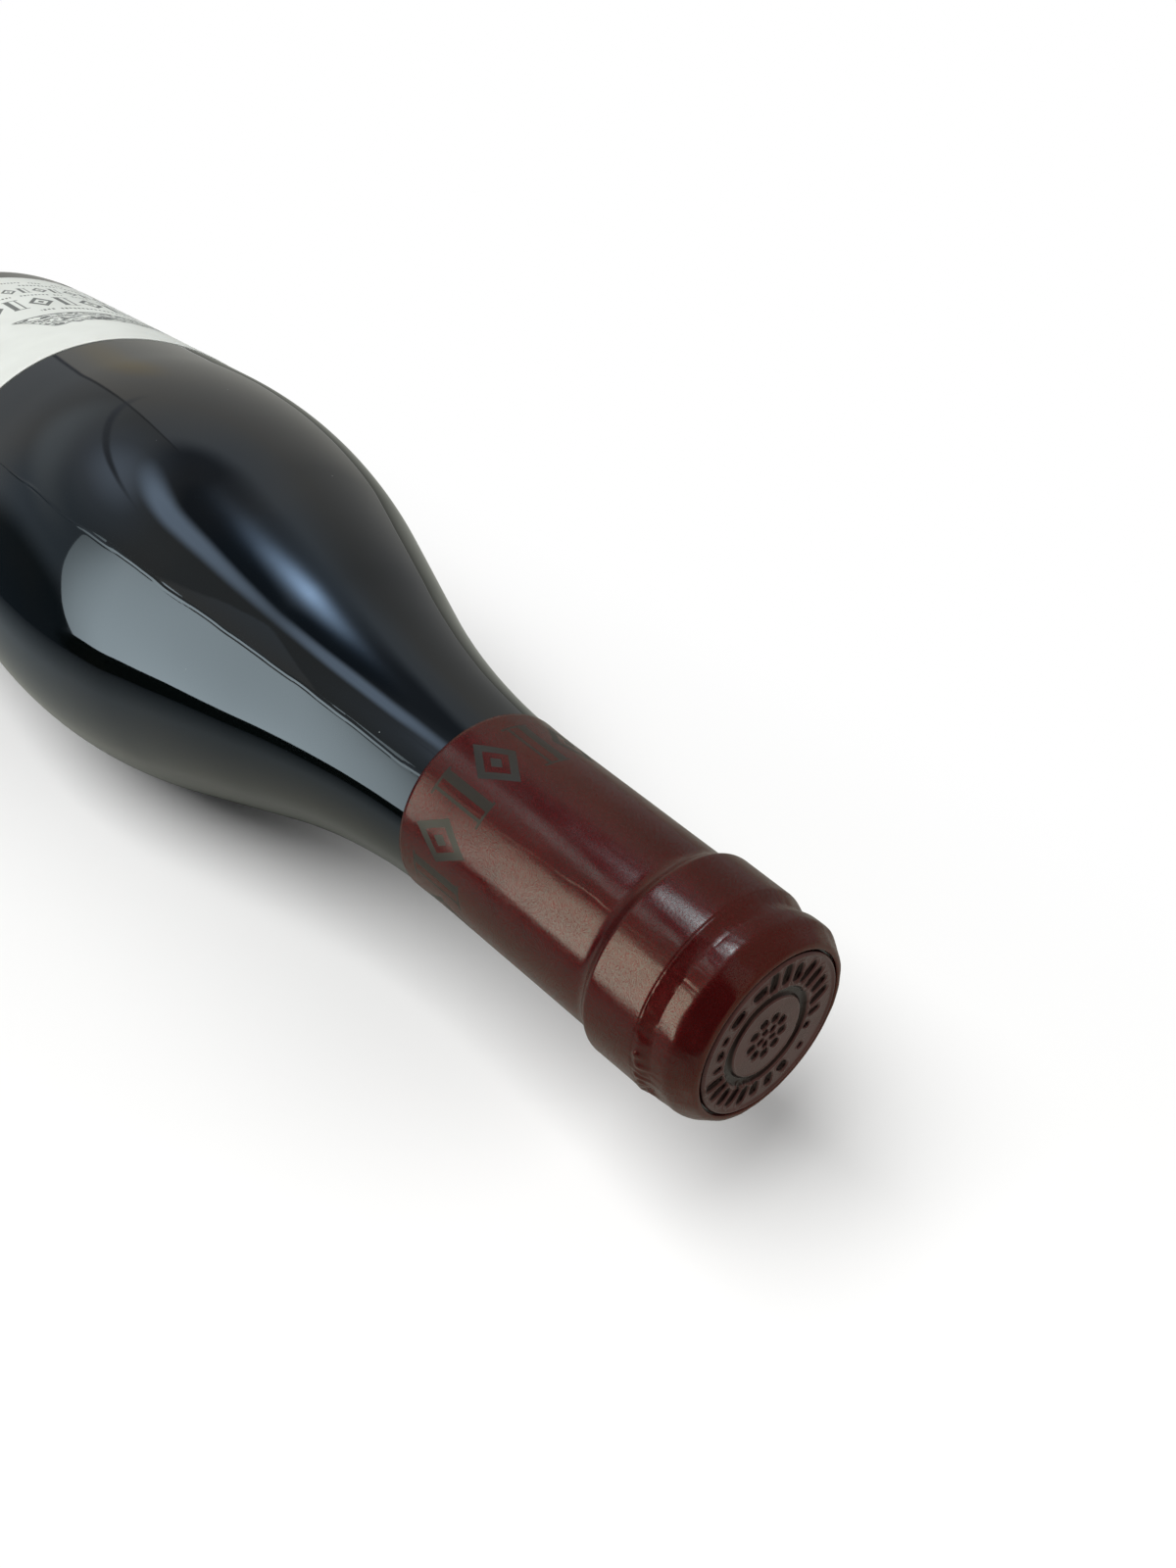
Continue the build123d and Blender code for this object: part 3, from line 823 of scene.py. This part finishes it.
def build_lamps():
    """A broad lamp high on the near side, a weak one past the mouth, and the softbox card."""
    area_lamp("near_side_lamp", 277, 66, 1.2, 0.80, 0.80, 13.4)
    area_lamp("mouth_side_lamp", 16, 32, 1.4, 0.90, 0.60, 8.0)
    corners = [(229.5, 12.0), (233.5, -6.5), (263, -9.5), (263, 60.0), (241.0, 55.0), (234.5, 50.0),
               (229.0, 46.5), (225.0, 39.0), (226.5, 28.0)]
    anchor = toward(233, 10, CARD_DISTANCE)
    facing = (anchor - toward(262, 10, CARD_DISTANCE)).cross(Vector((0, 0, 1))).normalized()
    reach = (anchor - LIT_POINT).dot(facing)
    rays = [toward(a, e, CARD_DISTANCE) - LIT_POINT for a, e in corners]
    flat = [LIT_POINT + ray * (reach / ray.dot(facing)) for ray in rays]
    mesh = bpy.data.meshes.new("tall_softbox")
    mesh.from_pydata(flat, [], [tuple(range(len(flat)))])
    card = bpy.data.objects.new("tall_softbox", mesh)
    bpy.context.scene.collection.objects.link(card)
    material, tree, glow = emissive("tall_softbox_cloth", (0.75, 0.91, 1.0, 1.0))
    azimuth = directions(tree)[0]
    tree.links.new(step_between(tree, azimuth, 224.0, 246.0, 1.2, 4.9), glow.inputs["Strength"])
    mesh.materials.append(material)
    show_in_gloss_only(card)


def directions(tree):
    """Azimuth and elevation in degrees of a cloth's points as seen from the bottle."""
    place = node(tree, "ShaderNodeTexCoord").outputs["Object"]
    away = node(tree, "ShaderNodeVectorMath", {0: place, 1: LIT_POINT}, operation="SUBTRACT")
    heading = node(tree, "ShaderNodeVectorMath", {0: away.outputs[0]}, operation="NORMALIZE")
    split = node(tree, "ShaderNodeSeparateXYZ", {0: heading.outputs[0]})
    turn = maths(tree, "ARCTAN2", split.outputs[1], split.outputs[0])
    azimuth = maths(tree, "WRAP", maths(tree, "DEGREES", turn), 360.0, 0.0)
    elevation = maths(tree, "DEGREES", maths(tree, "ARCSINE", split.outputs[2]))
    return azimuth, elevation


# soft areas of the tent: azimuth, elevation, half width, half height, tilt, edge, colour
TENT_AREAS = [
    (178, 58, 30, 7.5, 0, 0.45, (0.12, 0.14, 0.19)),
    (218, 16, 16, 24, 0, 0.50, (0.24, 0.30, 0.37)),
    (197, 30, 18, 4.5, -16, 0.80, (0.47, 0.54, 0.60)),
    (204, 45, 23, 9.5, -6, 0.70, (0.42, 0.50, 0.62)),
    (204, 46, 11, 5.0, -10, 0.90, (0.78, 0.95, 1.20)),
    (204, 65.0, 28, 4.5, 0, 0.40, (0.06, 0.08, 0.13)),
    (216, 57.2, 20, 3.9, 9, 0.60, (1.55, 2.05, 2.75)),
    (192, 41.5, 21, 0.9, 16, 0.55, (0.22, 0.25, 0.31)),
    (218, -6, 18, 18.5, 0, 0.25, (0.030, 0.042, 0.058)),
    (163, 19, 4, 4.0, 0, 0.90, (0.54, 0.49, 0.38)),
    (246, -12, 17, 8, 0, 0.15, (0.0, 0.0, 0.0)),
    (300, 25, 38, 62, 0, 0.25, (0.05, 0.05, 0.06)),
    (15, 15, 42, 45, 0, 0.50, (0.30, 0.30, 0.29)),
]


def build_tent():
    """Cloth tent round the set: dim and neutral low down, cool above, with the soft areas
    that windows, stands and other cloths leave on it."""
    rows, columns = 48, 96
    points = []
    for r in range(rows + 1):
        e = math.radians(-24 + 114 * r / rows)
        for c in range(columns):
            a = 2 * math.pi * c / columns
            points.append(toward(math.degrees(a), math.degrees(e), TENT_RADIUS))
    faces = [(r * columns + c, r * columns + (c + 1) % columns,
              (r + 1) * columns + (c + 1) % columns, (r + 1) * columns + c)
             for r in range(rows) for c in range(columns)]
    mesh = bpy.data.meshes.new("studio_tent")
    mesh.from_pydata(points, [], faces)
    mesh.validate()
    tent = bpy.data.objects.new("studio_tent", mesh)
    bpy.context.scene.collection.objects.link(tent)
    material, tree, glow = emissive("studio_tent_cloth")
    azimuth, elevation = directions(tree)
    ramp = node(tree, "ShaderNodeValToRGB",
                {0: maths(tree, "MULTIPLY_ADD", elevation, 1 / 115, 25 / 115)})
    stops = [(-25, (0.31, 0.31, 0.29, 1)), (5, (0.44, 0.44, 0.41, 1)), (35, (0.49, 0.49, 0.48, 1)),
             (54, (0.50, 0.58, 0.68, 1)), (63, (0.40, 0.50, 0.64, 1)), (90, (0.34, 0.42, 0.56, 1))]
    elements = ramp.color_ramp.elements
    elements[0].position, elements[0].color = 0.0, stops[0][1]
    elements[1].position, elements[1].color = 1.0, stops[-1][1]
    for at, colour in stops[1:-1]:
        elements.new((at + 25) / 115).color = colour
    cloth = ramp.outputs[0]
    cloth = blend_colours(tree, step_between(tree, azimuth, 118.0, 136.0),
                          (0.33, 0.34, 0.35, 1), cloth)
    # the tent's corner: a dark fold, with a shaded side beyond it
    shaded = maths(tree, "MULTIPLY", between(tree, azimuth, 172.6, 240.0, 0.5),
                   step_between(tree, elevation, 66.0, 58.0))
    cloth = blend_colours(tree, shaded, cloth, (0.31, 0.33, 0.35, 1))
    fold = maths(tree, "MULTIPLY", between(tree, azimuth, 172.2, 173.0, 0.35),
                 step_between(tree, elevation, 66.0, 50.0))
    cloth = blend_colours(tree, fold, cloth, (0.13, 0.14, 0.16, 1))
    for a, e, half_width, half_height, tilt, soft, colour in TENT_AREAS:
        place = node(tree, "ShaderNodeCombineXYZ", {0: azimuth, 1: elevation})
        local = node(tree, "ShaderNodeMapping",
                     {"Vector": place.outputs[0], "Location": (a, e, 0),
                      "Rotation": (0, 0, math.radians(tilt)),
                      "Scale": (half_width, half_height, 1)}, vector_type="TEXTURE")
        reach = node(tree, "ShaderNodeVectorMath", {0: local.outputs[0]}, operation="LENGTH")
        factor = step_between(tree, reach.outputs["Value"], 1 + soft, 1 - soft)
        cloth = blend_colours(tree, factor, cloth, (*colour, 1))
    tree.links.new(cloth, glow.inputs["Color"])
    mesh.materials.append(material)
    show_in_gloss_only(tent)


def build_overhead_glow():
    """Small cool lamp above the neck, with the soft glow round it on its diffuser."""
    reach = 0.30
    mesh = bpy.data.meshes.new("overhead_diffuser")
    turns = [2 * math.pi * k / 48 for k in range(48)]
    mesh.from_pydata([OVERHEAD + reach * Vector((math.cos(t), math.sin(t), 0)) for t in turns], [],
                     [tuple(range(48))])
    card = bpy.data.objects.new("overhead_diffuser", mesh)
    bpy.context.scene.collection.objects.link(card)
    material, tree, glow = emissive("overhead_diffuser_cloth", (0.45, 0.67, 1.0, 1.0))
    place = node(tree, "ShaderNodeTexCoord").outputs["Object"]
    off = node(tree, "ShaderNodeVectorMath", {0: place, 1: OVERHEAD}, operation="SUBTRACT")
    square = node(tree, "ShaderNodeVectorMath", {0: off.outputs[0], 1: off.outputs[0]},
                  operation="DOT_PRODUCT").outputs["Value"]
    fading = maths(tree, "EXPONENT", maths(tree, "MULTIPLY", square, -190.0))
    tree.links.new(maths(tree, "MULTIPLY", fading, 19.0), glow.inputs["Strength"])
    both = node(tree, "ShaderNodeAddShader",
                {0: glow.outputs[0], 1: node(tree, "ShaderNodeBsdfTransparent").outputs[0]})
    tree.links.new(both.outputs[0], tree.nodes["Material Output"].inputs["Surface"])
    mesh.materials.append(material)
    show_in_gloss_only(card)


def build_floor():
    """White seamless table top. Gloss sees it painted grey, a painted reflection that darkens
    to nearly black towards its near edge, and past that edge sees the tent."""
    columns, rows = 96, 30
    rings = [6.0 * (r / rows) ** 2.2 for r in range(rows + 1)]
    points = [(0.0, 0.0, -FLOOR_GAP)]
    turns = [2 * math.pi * c / columns for c in range(columns)]
    for reach in rings[1:]:
        points += [(reach * math.cos(turn), reach * math.sin(turn), -FLOOR_GAP) for turn in turns]
    faces = [(0, 1 + c, 1 + (c + 1) % columns) for c in range(columns)]
    for r in range(rows - 1):
        faces += [(1 + r * columns + c, 1 + (r + 1) * columns + c,
                   1 + (r + 1) * columns + (c + 1) % columns, 1 + r * columns + (c + 1) % columns)
                  for c in range(columns)]
    mesh = bpy.data.meshes.new("studio_floor")
    mesh.from_pydata(points, [], faces)
    floor = bpy.data.objects.new("studio_floor", mesh)
    bpy.context.scene.collection.objects.link(floor)
    material, tree, shader = new_material("white_table_top")
    shader.inputs["Roughness"].default_value = 0.9
    shader.inputs["Specular IOR Level"].default_value = 0.0
    place = node(tree, "ShaderNodeTexCoord").outputs["Object"]
    far = node(tree, "ShaderNodeVectorMath", {0: place}, operation="LENGTH").outputs["Value"]
    forward = node(tree, "ShaderNodeSeparateXYZ", {0: place}).outputs[1]
    path = node(tree, "ShaderNodeLightPath")
    gloss = path.outputs["Is Glossy Ray"]
    # painted reflection: glossy rays see the top grey, darkening to nearly black towards its near
    # edge
    ramp = node(tree, "ShaderNodeValToRGB", {0: maths(tree, "MULTIPLY", forward, -5.0)})
    elements = ramp.color_ramp.elements
    elements[0].position, elements[0].color = 0.20, (0.375, 0.385, 0.345, 1)
    elements[1].position, elements[1].color = 0.92, (0.055, 0.07, 0.09, 1)
    elements.new(0.50).color = (0.345, 0.395, 0.425, 1)
    elements.new(0.66).color = (0.21, 0.25, 0.28, 1)
    colour = blend_colours(tree, gloss, srgb("#fafaf9"), ramp.outputs[0])
    tree.links.new(colour, shader.inputs["Base Color"])
    seen = maths(tree, "MAXIMUM", path.outputs["Is Camera Ray"],
                 path.outputs["Is Transmission Ray"])
    # painted light: away from the bottle and on its far side the camera sees plain white mixed in,
    # which washes out the shadow there
    pale = maths(tree, "MAXIMUM", step_between(tree, far, 0.14, 0.36),
                 step_between(tree, forward, 0.03, 0.13))
    seen = maths(tree, "MULTIPLY", seen, pale)
    far_gloss = maths(tree, "MULTIPLY", gloss, step_between(tree, far, 0.9, 1.3))
    seen = maths(tree, "MAXIMUM", seen, far_gloss)
    white = node(tree, "ShaderNodeEmission", {"Color": (1, 1, 1, 1), "Strength": 1.0})
    top = node(tree, "ShaderNodeMixShader", {0: seen, 1: shader.outputs[0], 2: white.outputs[0]})
    beyond = maths(tree, "MULTIPLY", gloss, maths(tree, "LESS_THAN", forward, TABLE_EDGE))
    clear = node(tree, "ShaderNodeBsdfTransparent")
    ended = node(tree, "ShaderNodeMixShader", {0: beyond, 1: top.outputs[0], 2: clear.outputs[0]})
    tree.links.new(ended.outputs[0], tree.nodes["Material Output"].inputs["Surface"])
    mesh.materials.append(material)


def build_world():
    """White beyond the set, and a little light from all round on the matt surfaces."""
    world = bpy.data.worlds.new("white_room")
    bpy.context.scene.world = world
    world.use_nodes = True
    tree = world.node_tree
    tree.nodes.clear()
    path = node(tree, "ShaderNodeLightPath")
    seen = maths(tree, "MAXIMUM", path.outputs["Is Camera Ray"], path.outputs["Is Glossy Ray"])
    seen = maths(tree, "MAXIMUM", seen, path.outputs["Is Transmission Ray"])
    level = maths(tree, "MULTIPLY_ADD", seen, 1 - ROOM_LIGHT, ROOM_LIGHT)
    back = node(tree, "ShaderNodeBackground", {"Color": (1, 1, 1, 1), "Strength": level})
    node(tree, "ShaderNodeOutputWorld", {"Surface": back.outputs[0]})


def build_camera():
    """Close wide-angle view from the mouth's side, looking back along the bottle."""
    azimuth, elevation = math.radians(CAMERA_AZIMUTH), math.radians(CAMERA_ELEVATION)
    back = Vector((math.cos(elevation) * math.cos(azimuth), math.cos(elevation) * math.sin(azimuth),
                   math.sin(elevation)))
    right = Vector((0, 0, 1)).cross(back).normalized()
    up = back.cross(right)
    data = bpy.data.cameras.new("bottle_view")
    data.sensor_width = CAMERA_SENSOR
    data.lens = CAMERA_LENS
    data.clip_start, data.clip_end = 0.01, 20.0
    camera = bpy.data.objects.new("bottle_view", data)
    bpy.context.scene.collection.objects.link(camera)
    turn = Matrix((right, up, back)).transposed().to_4x4()
    camera.matrix_world = Matrix.Translation(CAMERA_PLACE) @ turn
    bpy.context.scene.camera = camera


# ---- put together ----

pieces = [
    (build_bottle_glass(), "bottle_glass", "dark_glass", dark_blown_glass()),
    (build_capsule_sleeve(), "capsule_sleeve", "capsule_film", shrunk_capsule_film()),
    (build_capsule_top(), "capsule_top", "capsule_disc", stamped_capsule_disc()),
    (build_front_label(), "front_label", "label_paper", uncoated_label_paper()),
]
for piece, replaced, slot, material in pieces:
    piece.data.materials.append(material)
    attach(piece, "root")
    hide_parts(replaced)

stipples = build_heel_stipples()
stipples.data.materials.append(pieces[0][3])
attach(stipples, "root")

build_floor()
build_tent()
build_overhead_glow()
build_lamps()
build_world()
build_camera()
bpy.context.scene.view_settings.view_transform = "Standard"
